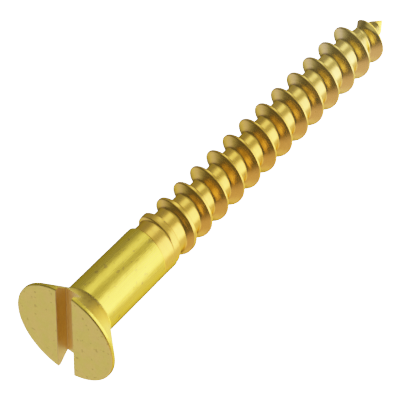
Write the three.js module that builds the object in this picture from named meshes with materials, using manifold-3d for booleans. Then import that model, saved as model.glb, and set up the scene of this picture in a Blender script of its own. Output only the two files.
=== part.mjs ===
// A slotted countersunk wood screw, one piece of brass, in millimetres.
// The screw lies along X: the flat of the head faces -X, the gimlet point is at +X, and +Z is up.
// The origin is on the screw's axis, half way along its length.

import * as THREE from "three";
import { mergeVertices } from "three/addons/utils/BufferGeometryUtils.js";
import Module from "manifold-3d";

const wasm = await Module();
wasm.setup();

// Driving dimensions. Places along the screw are measured from the face of the head.
const LENGTH = 38.1; // 1 1/2 inches
const HEAD_DIAMETER = 8.6;
const HEAD_LAND = 0.32; // the narrow cylindrical edge round the face
const CONE_SLOPE = 1; // a 90 degree countersink
const SLOT_WIDTH = 1.4;
const SLOT_DEPTH = 1.13;
const SHANK_DIAMETER = 4.22; // under the head
const SHANK_END = 9.5; // where the first groove starts
const SHANK_END_DIAMETER = 4.14;
const NECK_END = 15.6; // the groove deepens to the full core over three turns
const CORE_DIAMETER = 2.62;

const THREAD_HAND = -1; // -1 is a left-hand thread, +1 a right-hand one
const THREAD_PITCH = 1.9425;
const THREAD_PHASE = 312; // degrees from +Y towards +Z: where the crest would cross the face
const THREAD_START_DIAMETER = 4.22;
const THREAD_END_DIAMETER = 3.96;
const THREAD_FROM = SHANK_END + 0.3;
const RUN_IN = 0.3 * THREAD_PITCH; // the crest rises out of the neck over part of a turn
const FLANK_ANGLE = 34; // degrees, half of the thread's included angle
const CREST_WIDTH = 0.22;

const POINT_LENGTH = 4; // the core tapers slowly towards the tip
const TIP_LENGTH = 0.9; // then quickly, in a cone of about 65 degrees
const TIP_BASE_DIAMETER = 1.16;
// The crest's radius against the distance behind the tip, where it dies into the point.
const CREST_END = [
  [3.3, THREAD_END_DIAMETER / 2],
  [2.4, 1.84],
  [1.6, 1.15],
  [1.0, 0.5],
];

const SEGMENTS = 24; // facets round the axis, and steps in one turn of the thread
const SINK = 0.12; // how far the ridge's root is let into the core, so that the two join

// The body without its thread, as rows of [distance from the face, radius].
const coneEnd = HEAD_LAND + (HEAD_DIAMETER - SHANK_DIAMETER) / 2 / CONE_SLOPE;
const bodyProfile = [
  [0, HEAD_DIAMETER / 2],
  [HEAD_LAND, HEAD_DIAMETER / 2],
  [coneEnd, SHANK_DIAMETER / 2],
  [SHANK_END, SHANK_END_DIAMETER / 2],
  [NECK_END, CORE_DIAMETER / 2],
  [LENGTH - POINT_LENGTH, CORE_DIAMETER / 2],
  [LENGTH - TIP_LENGTH, TIP_BASE_DIAMETER / 2],
  [LENGTH, 0],
];

// The thread's crest in the same way.
const crestProfile = [
  [THREAD_FROM, SHANK_END_DIAMETER / 2 - SINK],
  [THREAD_FROM + RUN_IN, THREAD_START_DIAMETER / 2],
  ...CREST_END.map(([behindTip, radius]) => [LENGTH - behindTip, radius]),
];
const threadTo = crestProfile[crestProfile.length - 1][0];

// The radius that a profile has at a place along the screw.
function radiusAt(profile, place) {
  const after = Math.max(1, profile.findIndex(([x]) => x >= place));
  const [x0, r0] = profile[after - 1];
  const [x1, r1] = profile[after];
  return r0 + ((r1 - r0) * (place - x0)) / (x1 - x0);
}

// A closed three.js geometry as a manifold-3d solid.
function solidOf(geometry) {
  const plain = geometry.index ? geometry.toNonIndexed() : geometry.clone();
  plain.deleteAttribute("normal");
  plain.deleteAttribute("uv");
  const merged = mergeVertices(plain, 1e-4);
  return new wasm.Manifold(
    new wasm.Mesh({
      numProp: 3,
      vertProperties: merged.getAttribute("position").array,
      triVerts: new Uint32Array(merged.index.array),
    }),
  );
}

// A manifold-3d solid as a three.js geometry with flat facets.
function geometryOf(solid) {
  const { vertProperties, triVerts } = solid.getMesh();
  const shared = new THREE.BufferGeometry();
  shared.setAttribute("position", new THREE.BufferAttribute(vertProperties, 3));
  shared.setIndex(new THREE.BufferAttribute(triVerts, 1));
  const faceted = shared.toNonIndexed();
  faceted.computeVertexNormals();
  return faceted;
}

// Head, shank, core and point: a lathe turned about Y, then laid along X.
function makeBody() {
  const outline = [new THREE.Vector2(0, 0)];
  for (const [place, radius] of bodyProfile) outline.push(new THREE.Vector2(radius, place));
  return solidOf(new THREE.LatheGeometry(outline, SEGMENTS).rotateZ(-Math.PI / 2));
}

// The thread is a ridge, extruded straight with one step for each facet and then wound on the axis.
// Before it is wound, x is 0 at its root and 1 at its crest, y is -1 or +1 on its two flanks, and
// z counts the steps.
function makeThread() {
  const section = new THREE.Shape();
  section.moveTo(0, -1).lineTo(1, -1).lineTo(1, 1).lineTo(0, 1).closePath();
  const steps = Math.floor(((threadTo - THREAD_FROM) / THREAD_PITCH) * SEGMENTS);
  const ridge = new THREE.ExtrudeGeometry(section, { depth: steps, steps, bevelEnabled: false });

  const turnsBefore = THREAD_PHASE / 360 + (THREAD_HAND * THREAD_FROM) / THREAD_PITCH;
  const firstStep = Math.round(turnsBefore * SEGMENTS);
  const flankRun = Math.tan(THREE.MathUtils.degToRad(FLANK_ANGLE));
  const position = ridge.getAttribute("position");
  for (let i = 0; i < position.count; i++) {
    const atCrest = position.getX(i) > 0.5;
    const side = Math.sign(position.getY(i));
    const step = position.getZ(i);
    const middle = THREAD_FROM + (step / SEGMENTS) * THREAD_PITCH;
    const crest = radiusAt(crestProfile, middle);
    const root = Math.min(radiusAt(bodyProfile, middle), crest) - SINK;
    const halfWidth = CREST_WIDTH / 2 + (atCrest ? 0 : (crest - root) * flankRun);
    const radius = atCrest ? crest : root;
    const angle = ((firstStep + THREAD_HAND * step) / SEGMENTS) * 2 * Math.PI;
    const place = middle + side * halfWidth;
    position.setXYZ(i, place, radius * Math.cos(angle), radius * Math.sin(angle));
  }
  return solidOf(ridge);
}

// The driver slot, sawn across the face along Z.
function makeSlot() {
  return solidOf(new THREE.BoxGeometry(2 * SLOT_DEPTH, SLOT_WIDTH, 2 * HEAD_DIAMETER));
}

const brass = new THREE.MeshStandardMaterial({ color: 0xc9a83c, metalness: 1, roughness: 0.3 });

const screw = makeBody().add(makeThread()).subtract(makeSlot());
const mesh = new THREE.Mesh(geometryOf(screw), brass);
mesh.name = "wood_screw";
mesh.position.x = -LENGTH / 2;

const part = new THREE.Group();
part.add(mesh);

export default part;
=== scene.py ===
"""A slotted countersunk brass wood screw, lying on a pale studio floor.

The screw is one piece of metal, so it is one closed mesh, in the frame of the CAD model: its axis is X,
the flat of its head faces -X and its tip points to +X. Sizes are millimetres unless a comment says metres,
and places along the screw are measured from the face of its head. Blender's own units are metres.
"""

import math

import bmesh
import bpy
import numpy as np
from mathutils import Matrix, Vector


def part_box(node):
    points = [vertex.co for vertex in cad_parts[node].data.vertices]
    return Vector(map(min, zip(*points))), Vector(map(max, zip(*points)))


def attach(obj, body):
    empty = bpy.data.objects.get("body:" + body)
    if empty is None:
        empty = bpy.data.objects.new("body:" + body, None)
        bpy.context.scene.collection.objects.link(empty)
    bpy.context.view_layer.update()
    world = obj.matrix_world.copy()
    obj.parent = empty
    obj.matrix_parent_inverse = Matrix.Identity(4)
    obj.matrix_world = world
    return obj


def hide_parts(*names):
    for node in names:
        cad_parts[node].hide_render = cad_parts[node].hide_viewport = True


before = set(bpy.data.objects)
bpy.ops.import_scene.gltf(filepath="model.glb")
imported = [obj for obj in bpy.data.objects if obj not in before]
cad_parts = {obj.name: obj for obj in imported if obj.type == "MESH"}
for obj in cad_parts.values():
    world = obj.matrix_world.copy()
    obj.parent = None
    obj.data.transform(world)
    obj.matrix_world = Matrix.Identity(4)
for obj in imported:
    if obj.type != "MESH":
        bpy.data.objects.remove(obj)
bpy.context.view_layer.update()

MM = 0.001  # metres
NODE = "wood_screw"

# ---------------------------------------------------------------------------------------------
# Sizes
# ---------------------------------------------------------------------------------------------
low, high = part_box(NODE)
FACE_X = low.x  # metres, where the face of the head is
LENGTH = (high.x - low.x) / MM
HEAD_RADIUS = (high.y - low.y) / MM / 2

HEAD_LAND = 0.32  # width of the head's cylindrical edge
FACE_EDGE = 0.13  # rounding of the face's rim
LAND_EDGE = 0.04  # rounding between the land and the cone
HEAD_FILLET = 0.3  # where the cone runs into the shank
SHANK_RADIUS = 2.11
SHANK_END = 8.6  # the first groove runs out into the shank just past here
SHANK_END_RADIUS = 2.075
NECK_END = 15.6  # the groove deepens to the full core over three turns
CORE_RADIUS = 1.31
CONE_END = HEAD_LAND + HEAD_RADIUS - SHANK_RADIUS  # the cone leans 45 degrees to the axis

SLOT_WIDTH = 1.4
SLOT_DEPTH = 1.13
SLOT_LIP = 0.06  # rounding of the slot's long edges
SLOT_CORNER = 0.03  # rounding where its walls meet its floor
CUTTER_SPARE = 1.0  # how far the bar that cuts the slot stands clear of the head

THREAD_HAND = -1  # -1 is a left-hand thread, +1 a right-hand one
THREAD_PITCH = 1.9425
THREAD_PHASE = math.radians(312)  # from +Y towards +Z: where the crest would cross the face
FLANK_RUN = math.tan(math.radians(34))  # of the flank that faces the head
BACK_RUN = math.tan(math.radians(28))  # of the flank that faces the tip
FLANK_FILLET = 0.14
BACK_FILLET = 0.02
CREST_ROUND = 0.045
EVEN_LENGTH = 2.0  # past the neck, over which the groove's flat bottom gives way to an even taper

# Radius at the bottom of the groove: it runs out into the shank, deepens, and tapers to the tip.
BODY = [
    (SHANK_END, SHANK_END_RADIUS),
    (9.35, 2.07),
    (9.83, 1.93),
    (10.35, 1.80),
    (12.0, 1.61),
    (NECK_END, CORE_RADIUS),
    (LENGTH - 8.0, 1.30),
    (LENGTH - 4.2, 1.26),
    (LENGTH - 2.3, 0.98),
    (LENGTH - 0.95, 0.6),
    (LENGTH - 0.07, 0.055),
    (LENGTH - 0.025, 0.032),
]
# Radius of the thread's crest, from the shank to where it dies into the point.
CREST = [
    (SHANK_END, SHANK_END_RADIUS),
    (9.9, 2.06),
    (10.4, 2.01),
    (10.9, 2.07),
    (11.4, 2.11),
    (12.5, 2.13),
    (14.5, 2.09),
    (LENGTH - 3.3, 1.98),
    (LENGTH - 2.4, 1.84),
    (LENGTH - 1.6, 1.17),
    (LENGTH - 1.0, 0.5),
    (LENGTH, 0.0),
]
# Half of the crest's flat, which narrows as the groove reaches its full depth.
CREST_FLAT = [
    (SHANK_END, 0.42),
    (9.9, 0.42),
    (10.5, 0.25),
    (11.1, 0.28),
    (12.0, 0.18),
    (13.5, 0.12),
    (16.0, 0.09),
    (LENGTH, 0.09),
]
# Rounding where the flank that faces the head meets the bottom of the groove.
ROOT_FILLET = [(9.3, 0.01), (10.4, 0.08), (12.0, FLANK_FILLET)]

# ---------------------------------------------------------------------------------------------
# Fineness of the mesh
# ---------------------------------------------------------------------------------------------
COLUMNS = 192  # round the axis
SIDE_ROWS = (2, 6, 5, 4, 5)  # on each side of the crest: its flat, its edge, the flank, the root, the core
TURN_ROWS = 2 * sum(SIDE_ROWS)
FLAT_SHARE = 0.2  # of the crest's flat, which the rows of its edge leave free where it is narrow
ROOT_ORDER = (1.2, 1.6)  # crest roundings past the flat, where the root's rows go if there is no flank
SPARE_TURNS = 2  # past both ends of the thread, where the rows are cut off
THREAD_END = LENGTH - 0.8  # past here the point is a plain cone
TIP_PLACES = (LENGTH - 0.4, LENGTH - 0.07, LENGTH - 0.025)
FACE_START = 0.35  # radius of the first ring on the face
FACE_GAPS = (0.1, 0.03)  # how near the rim's rounding the last two rings of the flat come
FACE_RINGS = 12
CONE_RINGS = 10
CONE_SHARES = (0.04, 0.96)  # of the cone's length, where its first and last rings are
SHANK_RINGS = 22
EDGE_STEPS = 5  # round the rim of the face, and the slot's corner
LAND_STEPS = 3
FILLET_STEPS = 6
LIP_STEPS = 4
SHARP_ANGLE = math.radians(50)  # an edge sharper than this isn't shaded smooth
FACE_WEIGHT = 80  # of large faces in the shading normals


# ---------------------------------------------------------------------------------------------
# The mesh
# ---------------------------------------------------------------------------------------------
def table_value(rows, place):
    """The value at a place, or at an array of places, from rows of (place, value)."""
    places, values = zip(*rows)
    return np.interp(place, places, values)


def smooth_max(a, b, width):
    """The larger of a and b, with the corner between them rounded over width."""
    gap = np.maximum(width - np.abs(a - b), 0.0) / width
    return np.maximum(a, b) + gap * gap * width / 4


def arc(centre, radius, start, end, steps):
    """steps + 1 points of a circle in the plane of (place, radius), from one angle to another."""
    angles = np.linspace(math.radians(start), math.radians(end), steps + 1)
    return [(centre[0] + radius * math.cos(a), centre[1] + radius * math.sin(a)) for a in angles]


def line(start, end, shares):
    """Points between two others, at shares of the way."""
    return [(start[0] + (end[0] - start[0]) * s, start[1] + (end[1] - start[1]) * s) for s in shares]


def head_outline():
    """The lathe's outline, from near the middle of the face to the end of the shank."""
    flat_end = HEAD_RADIUS - FACE_EDGE
    rows = [(0.0, r) for r in np.linspace(FACE_START, flat_end - FACE_GAPS[0], FACE_RINGS)]
    rows += [(0.0, flat_end - FACE_GAPS[1])]
    rows += arc((FACE_EDGE, flat_end), FACE_EDGE, 180, 90, EDGE_STEPS)
    rows += arc((HEAD_LAND - LAND_EDGE, HEAD_RADIUS - LAND_EDGE), LAND_EDGE, 90, 45, LAND_STEPS)
    tangent = HEAD_FILLET * math.tan(math.radians(45) / 2)
    fillet = arc((CONE_END + tangent, SHANK_RADIUS + HEAD_FILLET), HEAD_FILLET, 225, 270, FILLET_STEPS)
    rows += line(rows[-1], fillet[0], np.linspace(*CONE_SHARES, CONE_RINGS))
    rows += fillet
    shank_end = (SHANK_END, SHANK_END_RADIUS)
    rows += line(rows[-1], shank_end, np.linspace(0.0, 1.0, SHANK_RINGS + 2)[1:])
    return rows


def side_offsets(flat, foot):
    """Distances from the crest line to the rows on one side of it, as one array for each row."""
    knots = [
        0.0 * flat,
        np.maximum(flat - CREST_ROUND, FLAT_SHARE * flat),
        flat + CREST_ROUND,
        np.maximum(foot - FLANK_FILLET, flat + ROOT_ORDER[0] * CREST_ROUND),
        np.maximum(foot + FLANK_FILLET, flat + ROOT_ORDER[1] * CREST_ROUND),
        0.0 * flat + THREAD_PITCH / 2,
    ]
    rows = []
    for start, end, count in zip(knots, knots[1:], SIDE_ROWS):
        rows += [start + (end - start) * step / count for step in range(count)]
    return rows


def turn_rows(crest):
    """Places of the rows of one turn, half a pitch to each side of its crest."""
    flat = table_value(CREST_FLAT, crest)
    height = np.maximum(table_value(CREST, crest) - table_value(BODY, crest), 0.0)
    front = side_offsets(flat, flat + height * FLANK_RUN)
    back = side_offsets(flat, flat + height * BACK_RUN)
    before = [-THREAD_PITCH / 2 + 0.0 * flat] + [-offset for offset in reversed(front[1:])]
    return [crest + offset for offset in before + back]


def thread_radius(place, crest):
    """Radius of the surface at a place, where the nearest crest is at crest."""
    back = place > crest
    # In the neck each turn of the groove has a flat bottom; nearer the tip the core tapers evenly.
    groove = crest + np.where(back, 0.5, -0.5) * THREAD_PITCH
    even = np.clip((place - NECK_END) / EVEN_LENGTH, 0.0, 1.0)
    body = table_value(BODY, groove) * (1 - even) + table_value(BODY, place) * even
    past_flat = smooth_max(np.abs(place - crest) - table_value(CREST_FLAT, place), 0.0, CREST_ROUND)
    flank = table_value(CREST, place) - past_flat / np.where(back, BACK_RUN, FLANK_RUN)
    fillet = np.where(back, BACK_FILLET, table_value(ROOT_FILLET, place))
    return smooth_max(body, flank, fillet)


def thread_surface(angles):
    """(place, radius) of the threaded length, as arrays with a row for each helical line of points."""
    places = []
    crests = []
    first = int(SHANK_END / THREAD_PITCH) - SPARE_TURNS
    last = int(LENGTH / THREAD_PITCH) + SPARE_TURNS
    for turn in range(first, last + 1):
        crest = THREAD_PITCH * (turn + THREAD_HAND * (angles - THREAD_PHASE) / (2 * math.pi))
        places += turn_rows(crest)
        crests += [crest] * TURN_ROWS
    place = np.clip(np.array(places), SHANK_END, THREAD_END)
    return place, thread_radius(place, np.array(crests))


def neighbours(ring):
    """Each pair of neighbours on a ring."""
    return zip(ring, ring[1:] + ring[:1])


class Lathe:
    """A mesh round the X axis, made of points in COLUMNS columns."""

    def __init__(self):
        self.mesh = bmesh.new()
        self.angles = np.arange(COLUMNS) * 2 * math.pi / COLUMNS

    def point(self, place, radius, column):
        angle = self.angles[column]
        return self.mesh.verts.new((place, radius * math.cos(angle), radius * math.sin(angle)))

    def ring(self, place, radius):
        return [self.point(place, radius, column) for column in range(COLUMNS)]

    def bridge(self, first, second):
        for (a, b), (c, d) in zip(neighbours(first), neighbours(second)):
            self.mesh.faces.new((a, b, d, c))

    def extend(self, ring, rows):
        """Carries the surface on from a ring through rows of (place, radius), and gives the last ring."""
        for place, radius in rows:
            following = self.ring(place, radius)
            self.bridge(ring, following)
            ring = following
        return ring

    def cap(self, ring, place):
        centre = self.mesh.verts.new((place, 0.0, 0.0))
        for a, b in neighbours(ring):
            self.mesh.faces.new((centre, a, b))


def add_thread(lathe, shoulder, tip_ring):
    """The helical rows. Where a row would pass either end it stays on that end's ring."""
    place, radius = thread_surface(lathe.angles)
    row_count = len(place)

    def grid_point(row, column):
        if place[row, column] <= SHANK_END:
            return shoulder[column]
        if place[row, column] >= THREAD_END:
            return tip_ring[column]
        return lathe.point(place[row, column], radius[row, column], column)

    grid = [[grid_point(row, column) for column in range(COLUMNS)] for row in range(row_count)]
    for row in range(row_count - 1):
        for column in range(COLUMNS):
            following = (column + 1) % COLUMNS
            # Past the last column a row carries on as the row one turn away.
            row_after = row + (TURN_ROWS * THREAD_HAND if following == 0 else 0)
            if not 0 <= row_after < row_count - 1:
                continue
            corners = (
                grid[row][column],
                grid[row_after][following],
                grid[row_after + 1][following],
                grid[row + 1][column],
            )
            different = list(dict.fromkeys(corners))
            if len(different) > 2:
                lathe.mesh.faces.new(different)


def finish_mesh(mesh, name):
    """Turns a closed bmesh into Blender's mesh data, with its faces outward."""
    bmesh.ops.recalc_face_normals(mesh, faces=mesh.faces)
    data = bpy.data.meshes.new(name)
    mesh.to_mesh(data)
    mesh.free()
    return data


def build_screw():
    """One closed mesh: the head and shank as rings, the thread as helical rows, the tip as rings."""
    lathe = Lathe()
    outline = head_outline()
    middle = lathe.ring(*outline[0])
    lathe.cap(middle, 0.0)
    shoulder = lathe.extend(middle, outline[1:])
    tip_ring = lathe.ring(THREAD_END, table_value(BODY, THREAD_END))
    add_thread(lathe, shoulder, tip_ring)
    end = lathe.extend(tip_ring, [(place, table_value(BODY, place)) for place in TIP_PLACES])
    lathe.cap(end, LENGTH)
    return finish_mesh(lathe.mesh, "screw_body")


def slot_section():
    """The slot's section as (place, y), its walls flaring into a small lip at the face."""
    half = SLOT_WIDTH / 2
    corner = (SLOT_DEPTH - SLOT_CORNER, half - SLOT_CORNER)
    side = [(SLOT_DEPTH, 0.0)]
    side += arc(corner, SLOT_CORNER, 0, 90, EDGE_STEPS)
    side += arc((SLOT_LIP, half + SLOT_LIP), SLOT_LIP, 270, 180, LIP_STEPS)
    side += [(-CUTTER_SPARE, half + SLOT_LIP)]
    return side + [(place, -y) for place, y in reversed(side[1:])]


def build_slot_cutter():
    """A bar along Z with the slot's section, longer than the head is wide."""
    section = slot_section()
    reach = HEAD_RADIUS + CUTTER_SPARE
    mesh = bmesh.new()
    ends = [[mesh.verts.new((place, y, z)) for place, y in section] for z in (-reach, reach)]
    for i in range(len(section)):
        mesh.faces.new((ends[0][i - 1], ends[0][i], ends[1][i], ends[1][i - 1]))
    for end in ends:
        mesh.faces.new(end)
    return finish_mesh(mesh, "slot_cutter")


def cut_slot(screw):
    """Replaces the screw's mesh by the same one with the slot sawn out of it."""
    cutter = bpy.data.objects.new("slot_cutter", build_slot_cutter())
    bpy.context.collection.objects.link(cutter)
    cut = screw.modifiers.new("slot", "BOOLEAN")
    cut.operation = "DIFFERENCE"
    cut.solver = "EXACT"
    cut.object = cutter
    evaluated = screw.evaluated_get(bpy.context.evaluated_depsgraph_get())
    finished = bpy.data.meshes.new_from_object(evaluated)
    screw.modifiers.clear()
    screw.data = finished
    bpy.data.objects.remove(cutter)


def make_screw():
    """The finished screw: lathe, thread and slot, in the CAD frame, in metres."""
    screw = bpy.data.objects.new("screw", build_screw())
    bpy.context.collection.objects.link(screw)
    cut_slot(screw)
    screw.data.transform(Matrix.Translation((FACE_X, 0, 0)) @ Matrix.Scale(MM, 4))
    for polygon in screw.data.polygons:
        polygon.use_smooth = True
    screw.data.set_sharp_from_angle(angle=SHARP_ANGLE)
    even = screw.modifiers.new("even_normals", "WEIGHTED_NORMAL")
    even.keep_sharp = True
    even.weight = FACE_WEIGHT
    return screw


# ---------------------------------------------------------------------------------------------
# Materials
# ---------------------------------------------------------------------------------------------
PER_MM = 1000.0  # scales object coordinates, in metres, to millimetres
EDGE_TINT = (1.0, 0.85, 0.35)  # of the brass at a glancing angle
TIP_PAINTED_LIGHT_COLOUR = (1.0, 0.76, 0.22)  # painted light: the metal is painted paler towards the tip, where it shows brighter
TIP_PAINTED_LIGHT_SPAN = (2.0, 17.0)  # past the middle of the screw, over which the painted light turns it paler
TIP_PAINTED_LIGHT_SHARE = 0.85
PATCH_SCALE = 0.9  # patches, specks and waves in one millimetre
PATCH_SPAN = (0.38, 0.62)  # noise levels between which the first tone gives way to the second
SPECK_SCALE = 2.2
SPECK_COLOUR = (0.42, 0.28, 0.08)
SPECK_EDGE = 0.05  # noise level from the rim of a speck to its full depth of colour
SPECK_SHARE = 0.5
WAVE_SCALE = 1.6
WAVE_SHARE = 3.0  # height of the broad waves against that of the fine marks
MARK_SPAN = (0.2, 0.8)  # levels of the marks between which the roughness changes
ROUGH_SPREAD = 0.05  # how far it changes each way
FINE = 9.0  # fine marks in one millimetre, across the way that the tool ran


class Nodes:
    """Short names for the shader nodes that the materials share."""

    def __init__(self, tree):
        self.tree = tree
        tree.nodes.clear()

    def add(self, kind, **settings):
        node = self.tree.nodes.new(kind)
        inputs = settings.pop("inputs", {})
        for name, value in settings.items():
            setattr(node, name, value)
        for name, value in inputs.items():
            if isinstance(value, bpy.types.NodeSocket):
                self.tree.links.new(value, node.inputs[name])
            else:
                node.inputs[name].default_value = value
        return node

    def calculate(self, operation, a, b):
        return self.add("ShaderNodeMath", operation=operation, inputs={0: a, 1: b}).outputs[0]

    def vector(self, operation, inputs, output="Vector"):
        return self.add("ShaderNodeVectorMath", operation=operation, inputs=inputs).outputs[output]

    def noise(self, vector, scale, detail, roughness=0.5):
        node = self.add(
            "ShaderNodeTexNoise",
            inputs={"Vector": vector, "Scale": scale, "Detail": detail, "Roughness": roughness},
        )
        return node.outputs["Fac"]

    def span(self, value, low_in, high_in, low_out, high_out):
        node = self.add(
            "ShaderNodeMapRange",
            interpolation_type="SMOOTHSTEP",
            inputs={0: value, 1: low_in, 2: high_in, 3: low_out, 4: high_out},
        )
        return node.outputs[0]

    def mix(self, share, a, b):
        node = self.add("ShaderNodeMix", data_type="RGBA", inputs={0: share, 6: a, 7: b})
        return node.outputs[2]

    def place(self):
        """Object coordinates, in metres."""
        return self.add("ShaderNodeTexCoord").outputs["Object"]

    def stretched(self, along, across, upright):
        """Object coordinates scaled to so many units in a millimetre along X, Y and Z."""
        scale = (along * PER_MM, across * PER_MM, upright * PER_MM)
        return self.add("ShaderNodeMapping", inputs={"Vector": self.place(), "Scale": scale}).outputs[0]


def drawn_marks(nodes):
    """Fine streaks along the shank, from drawing the wire."""
    return nodes.noise(nodes.stretched(0.4, FINE, FINE), 1.0, 4.0)


def milled_marks(nodes):
    """Fine random tooling on the face and the cone."""
    return nodes.noise(nodes.stretched(FINE, FINE, 5.0), 1.0, 4.0)


def sawn_marks(nodes):
    """Scratches along the slot."""
    return nodes.noise(nodes.stretched(FINE, FINE, 0.5), 1.0, 4.0)


def cut_marks(nodes):
    """Fine lines round the thread, along the way that the tool ran."""
    parts = nodes.add("ShaderNodeSeparateXYZ", inputs={0: nodes.place()})
    x, y, z = parts.outputs
    angle = nodes.calculate("ARCTAN2", z, y)
    section = nodes.add("ShaderNodeCombineXYZ", inputs={1: y, 2: z}).outputs[0]
    outward = nodes.vector("LENGTH", {0: section}, "Value")
    fine = FINE * PER_MM
    along = nodes.calculate("MULTIPLY", x, fine)
    across = nodes.calculate("MULTIPLY", outward, fine)
    wound = nodes.add("ShaderNodeCombineXYZ", inputs={0: along, 1: across, 2: angle})
    return nodes.noise(wound.outputs[0], 1.0, 3.0)


def brass_tone(nodes, even, colour, tint, speck_level):
    """Two tones in soft patches, painted paler towards the tip as painted light, with a few dark specks.
    """
    patches = nodes.noise(even, PATCH_SCALE, 4.0, 0.6)
    tone = nodes.mix(nodes.span(patches, *PATCH_SPAN, 0.0, 1.0), (*colour, 1), (*tint, 1))
    along = nodes.add("ShaderNodeSeparateXYZ", inputs={0: even}).outputs[0]
    # Painted light: the colour turns paler towards the tip.
    tip_painted_light = nodes.span(along, *TIP_PAINTED_LIGHT_SPAN, 0.0, TIP_PAINTED_LIGHT_SHARE)
    tone = nodes.mix(tip_painted_light, tone, (*TIP_PAINTED_LIGHT_COLOUR, 1))
    specks = nodes.noise(even, SPECK_SCALE, 1.0)
    speck = nodes.span(specks, speck_level, speck_level + SPECK_EDGE, 0.0, SPECK_SHARE)
    return nodes.mix(speck, tone, (*SPECK_COLOUR, 1))


def brass(name, colour, tint, roughness, marks, mark_height, speck_level):
    """A brass finish, with the marks of how it was worked; its colour and tint carry the painted light and
    shade of its region.

    marks(nodes) gives a 0 to 1 pattern. speck_level is the noise level past which there is a speck.
    """
    material = bpy.data.materials.new(name)
    material.use_nodes = True
    nodes = Nodes(material.node_tree)
    even = nodes.stretched(1.0, 1.0, 1.0)
    pattern = marks(nodes)
    tone = brass_tone(nodes, even, colour, tint, speck_level)
    spread = nodes.span(pattern, *MARK_SPAN, -ROUGH_SPREAD, ROUGH_SPREAD)
    rough = nodes.calculate("ADD", spread, roughness)
    waves = nodes.calculate("MULTIPLY", nodes.noise(even, WAVE_SCALE, 2.0), WAVE_SHARE)
    height = nodes.calculate("ADD", pattern, waves)
    bump = nodes.add(
        "ShaderNodeBump",
        inputs={"Height": height, "Distance": mark_height * MM, "Strength": 1.0},
    )
    shader = nodes.add(
        "ShaderNodeBsdfPrincipled",
        inputs={"Base Color": tone, "Metallic": 1.0, "Roughness": rough, "Normal": bump.outputs[0]},
    )
    shader.inputs["Specular Tint"].default_value = (*EDGE_TINT, 1)
    nodes.add("ShaderNodeOutputMaterial", inputs={"Surface": shader.outputs[0]})
    return material


# Each region of the screw has its own finish, in this order of material slots. Their base colours differ
# more than one brass would: they are partly the brass's own tone and partly painted light and shade.
FINISHES_AND_PAINTED_SHADING = {
    # The face's browner tone is partly the milled brass's own colour and partly painted shade.
    "face": dict(
        name="brass_face", colour=(0.82, 0.62, 0.15), tint=(0.87, 0.61, 0.17),
        roughness=0.42, marks=milled_marks, mark_height=0.020, speck_level=0.66,
    ),
    # Painted light: the slot's floor is painted paler and brighter than the brass.
    "slot": dict(
        name="brass_sawn_painted_light", colour=(0.95, 0.72, 0.26), tint=(0.92, 0.70, 0.26),
        roughness=0.42, marks=sawn_marks, mark_height=0.012, speck_level=0.80,
    ),
    # Painted shade: the slot's walls are painted darker than the brass.
    "wall": dict(
        name="brass_wall_painted_shade", colour=(0.72, 0.52, 0.20), tint=(0.68, 0.50, 0.20),
        roughness=0.42, marks=sawn_marks, mark_height=0.012, speck_level=0.80,
    ),
    # Painted shade: the cone under the head, and the slot's lips, are painted darker than the brass.
    "cone": dict(
        name="brass_turned_painted_shade", colour=(0.56, 0.48, 0.15), tint=(0.53, 0.45, 0.15),
        roughness=0.40, marks=milled_marks, mark_height=0.008, speck_level=0.75,
    ),
    "shank": dict(
        name="brass_drawn", colour=(0.92, 0.68, 0.08), tint=(0.90, 0.66, 0.075),
        roughness=0.28, marks=drawn_marks, mark_height=0.007, speck_level=0.66,
    ),
    # Painted shade: the tip-facing flanks of the ridges are painted darker than the brass.
    "back": dict(
        name="brass_back_painted_shade", colour=(0.70, 0.43, 0.12), tint=(0.67, 0.41, 0.12),
        roughness=0.34, marks=cut_marks, mark_height=0.004, speck_level=0.74,
    ),
    "thread": dict(
        name="brass_cut", colour=(0.93, 0.57, 0.09), tint=(0.91, 0.55, 0.08),
        roughness=0.24, marks=cut_marks, mark_height=0.004, speck_level=0.74,
    ),
}
SLOT_SKIN = 0.004  # a part of the slot's lip nearer the face than this belongs to the face
SLOT_MARGIN = 0.01  # below the slot's floor
FACE_SKIN = 0.02  # the finish of the face reaches this far round its rim
RUN_OUT = 10.2  # past here all of the surface has been cut
UNCUT_MARGIN = 0.025  # a surface nearer the shank's radius than this hasn't been cut
WALL_FACING = 0.7  # how far a part of the slot leans to the side to be its wall, which carries painted shade
FLOOR_FACING = 0.9  # how squarely it faces along the axis to be its floor, which carries painted light
BACK_FACING = 0.6  # how far a part of the thread leans to the tip to be the back of a ridge, which is painted in shade


def slot_region(normal):
    """The finish of a part of the slot, whose walls carry painted shade and whose floor carries painted
    light.
    """
    # The walls get the darker colour of painted shade, and the floor gets the brighter colour of painted
    # light.
    if abs(normal.y) > WALL_FACING:
        return "wall"
    return "slot" if abs(normal.x) > FLOOR_FACING else "cone"


def region_at(centre, normal):
    """The finish, with its painted shading, of the part of the surface with this centre, measured from the
    face, and this normal.
    """
    in_slot = abs(centre.y) < (SLOT_WIDTH + SLOT_LIP) / 2
    if in_slot and SLOT_SKIN < centre.x < SLOT_DEPTH + SLOT_MARGIN:
        return slot_region(normal)
    if centre.x < FACE_SKIN:
        return "face"
    # The cone under the head gets the colour of painted shade.
    if HEAD_LAND < centre.x < CONE_END:
        return "cone"
    uncut = centre.x < RUN_OUT and centre.yz.length > SHANK_END_RADIUS - UNCUT_MARGIN
    if centre.x < SHANK_END or uncut:
        return "shank"
    # The tip-facing flanks of the ridges get the colour of painted shade.
    if normal.x > BACK_FACING and centre.x < THREAD_END:
        return "back"
    return "thread"


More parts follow.
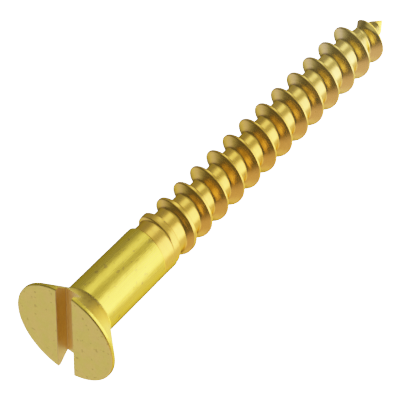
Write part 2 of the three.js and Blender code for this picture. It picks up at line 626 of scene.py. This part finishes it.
def paint_screw(screw):
    """Gives each region of the one mesh its own finish, whose base colour carries painted light and shade.
    """
    for finish_and_painted_shading in FINISHES_AND_PAINTED_SHADING.values():
        screw.data.materials.append(brass(**finish_and_painted_shading))
    order = list(FINISHES_AND_PAINTED_SHADING)
    for polygon in screw.data.polygons:
        centre = (polygon.center - Vector((FACE_X, 0, 0))) / MM
        polygon.material_index = order.index(region_at(centre, polygon.normal))


# ---------------------------------------------------------------------------------------------
# Studio
# ---------------------------------------------------------------------------------------------
FILM_WHITE = 6.0  # the light that the camera records as white
FILM_STEPS = 24  # points of the film's response curve
FLOOR_RADIUS = 3.0  # metres
FLOOR_SIDES = 96
FLOOR_COLOUR = (0.9, 0.9, 0.9)
HEAD_REST = 0.16  # where the rim of the head touches the floor: the middle of its land
THREAD_REST = LENGTH - 3.3  # where the last full turn of the thread touches it

CAMERA_HEADING = math.radians(37.44)  # of the view, from +X towards +Y
CAMERA_DOWN = math.radians(49.0)
CAMERA_DISTANCE = 0.30815  # metres
CAMERA_AIM = 15.65  # the place on the axis that it looks at
CAMERA_LENS = 384.4  # focal length, on the sensor below
CAMERA_SENSOR = 36.0

# The light that the metal reflects, by direction: (towards, cosine where it starts, cosine where it is
# full, colour). Directions that none of these covers have only the ambient light.
AMBIENT = (0.12, 0.12, 0.12)
LIGHTS = [
    ((0.52, -0.77, 0.36), 0.77, 0.99, (3.1, 3.0, 3.4)),  # main softbox
    ((0.52, 0.36, 0.77), 0.945, 0.998, (1.2, 1.2, 1.2)),  # narrow lamp over the far side
    ((0.20, 0.10, 0.97), 0.50, 0.85, (0.56, 0.56, 0.45)),  # ceiling
    ((0.50, -0.70, -0.50), 0.60, 0.95, (1.1, 1.0, 0.95)),  # lit paper under the main softbox
    ((-0.50, 0.45, -0.72), 0.60, 0.94, (0.83, 0.88, 1.0)),  # paper in front of the head
    ((-0.50, -0.50, -0.70), 0.64, 0.93, (0.75, 0.50, 0.55)),  # warmer paper in front
    ((-0.20, 0.85, -0.50), 0.88, 0.99, (0.15, 0.12, 0.9)),  # cooler paper behind
    ((0.52, 0.84, 0.05), 0.75, 0.97, (0.25, 0.25, 0.30)),  # wall behind
    ((0.90, -0.02, -0.43), 0.82, 0.97, (3.6, 3.2, 2.4)),  # lit paper beyond the tip
]


def paint_floor(floor):
    """White paper that glows as brightly as the background."""
    material = bpy.data.materials.new("floor_white")
    material.use_nodes = True
    nodes = Nodes(material.node_tree)
    paper = nodes.add("ShaderNodeBsdfDiffuse", inputs={"Color": (*FLOOR_COLOUR, 1)})
    glow = nodes.add("ShaderNodeEmission", inputs={"Color": (1, 1, 1, 1), "Strength": FILM_WHITE})
    lit = nodes.add("ShaderNodeAddShader", inputs={0: paper.outputs[0], 1: glow.outputs[0]})
    nodes.add("ShaderNodeOutputMaterial", inputs={"Surface": lit.outputs[0]})
    floor.data.materials.append(material)


def make_floor():
    """A pale floor that the rim of the head, on both sides of its slot, and the thread rest on."""
    head_down = math.sqrt(HEAD_RADIUS**2 - (SLOT_WIDTH / 2) ** 2)
    thread_down = table_value(CREST, THREAD_REST)
    slope = math.atan2(head_down - thread_down, THREAD_REST - HEAD_REST)
    mesh = bmesh.new()
    bmesh.ops.create_circle(mesh, cap_ends=True, radius=FLOOR_RADIUS, segments=FLOOR_SIDES)
    data = bpy.data.meshes.new("floor")
    mesh.to_mesh(data)
    mesh.free()
    floor = bpy.data.objects.new("floor", data)
    bpy.context.collection.objects.link(floor)
    rest = Matrix.Translation((FACE_X + HEAD_REST * MM, 0, -head_down * MM))
    floor.matrix_world = rest @ Matrix.Rotation(-slope, 4, "Y")
    paint_floor(floor)
    # Only the camera sees it, because the paper that the metal reflects is among the lights.
    floor.visible_glossy = False
    floor.visible_diffuse = False
    floor.visible_shadow = False


def studio_light(nodes):
    """The sum of the lamps and paper, as broad soft lobes of light."""
    direction = nodes.add("ShaderNodeTexCoord").outputs["Generated"]
    total = AMBIENT
    for towards, start, full, colour in LIGHTS:
        nearness = nodes.vector("DOT_PRODUCT", {0: direction, 1: Vector(towards).normalized()}, "Value")
        share = nodes.span(nearness, start, full, 0.0, 1.0)
        lobe = nodes.vector("SCALE", {0: colour, "Scale": share})
        total = nodes.vector("ADD", {0: total, 1: lobe})
    return total


def make_world():
    """The metal sees the studio's lights, and the camera sees a plain white background."""
    world = bpy.data.worlds.new("studio")
    bpy.context.scene.world = world
    world.use_nodes = True
    nodes = Nodes(world.node_tree)
    light = nodes.add("ShaderNodeBackground", inputs={"Color": studio_light(nodes), "Strength": 1.0})
    plain = nodes.add("ShaderNodeBackground", inputs={"Color": (1, 1, 1, 1), "Strength": FILM_WHITE})
    seen = nodes.add("ShaderNodeLightPath").outputs["Is Camera Ray"]
    chosen = nodes.add("ShaderNodeMixShader", inputs={0: seen, 1: light.outputs[0], 2: plain.outputs[0]})
    nodes.add("ShaderNodeOutputWorld", inputs={"Surface": chosen.outputs[0]})


def set_film():
    """A photographic response: bright light eases off towards white instead of clipping."""
    view = bpy.context.scene.view_settings
    view.view_transform = "Standard"
    view.use_curve_mapping = True
    mapping = view.curve_mapping
    mapping.white_level = (FILM_WHITE, FILM_WHITE, FILM_WHITE)
    combined = mapping.curves[3]
    for step in range(1, FILM_STEPS):
        share = (step / FILM_STEPS) ** 2
        combined.points.new(share, 1 - math.exp(-FILM_WHITE * share))
    mapping.update()


def make_camera():
    """A long lens, looking down at the screw from beyond its head."""
    level = math.cos(CAMERA_DOWN)
    forward = Vector(
        (math.cos(CAMERA_HEADING) * level, math.sin(CAMERA_HEADING) * level, -math.sin(CAMERA_DOWN))
    )
    data = bpy.data.cameras.new("camera")
    data.lens = CAMERA_LENS
    data.sensor_width = CAMERA_SENSOR
    camera = bpy.data.objects.new("camera", data)
    bpy.context.collection.objects.link(camera)
    aim = Vector((FACE_X + CAMERA_AIM * MM, 0, 0))
    turn = forward.to_track_quat("-Z", "Y").to_matrix().to_4x4()
    camera.matrix_world = Matrix.Translation(aim - forward * CAMERA_DISTANCE) @ turn
    bpy.context.scene.camera = camera


make_camera()
screw = make_screw()
paint_screw(screw)
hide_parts(NODE)
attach(screw, "root")
make_floor()
make_world()
set_film()
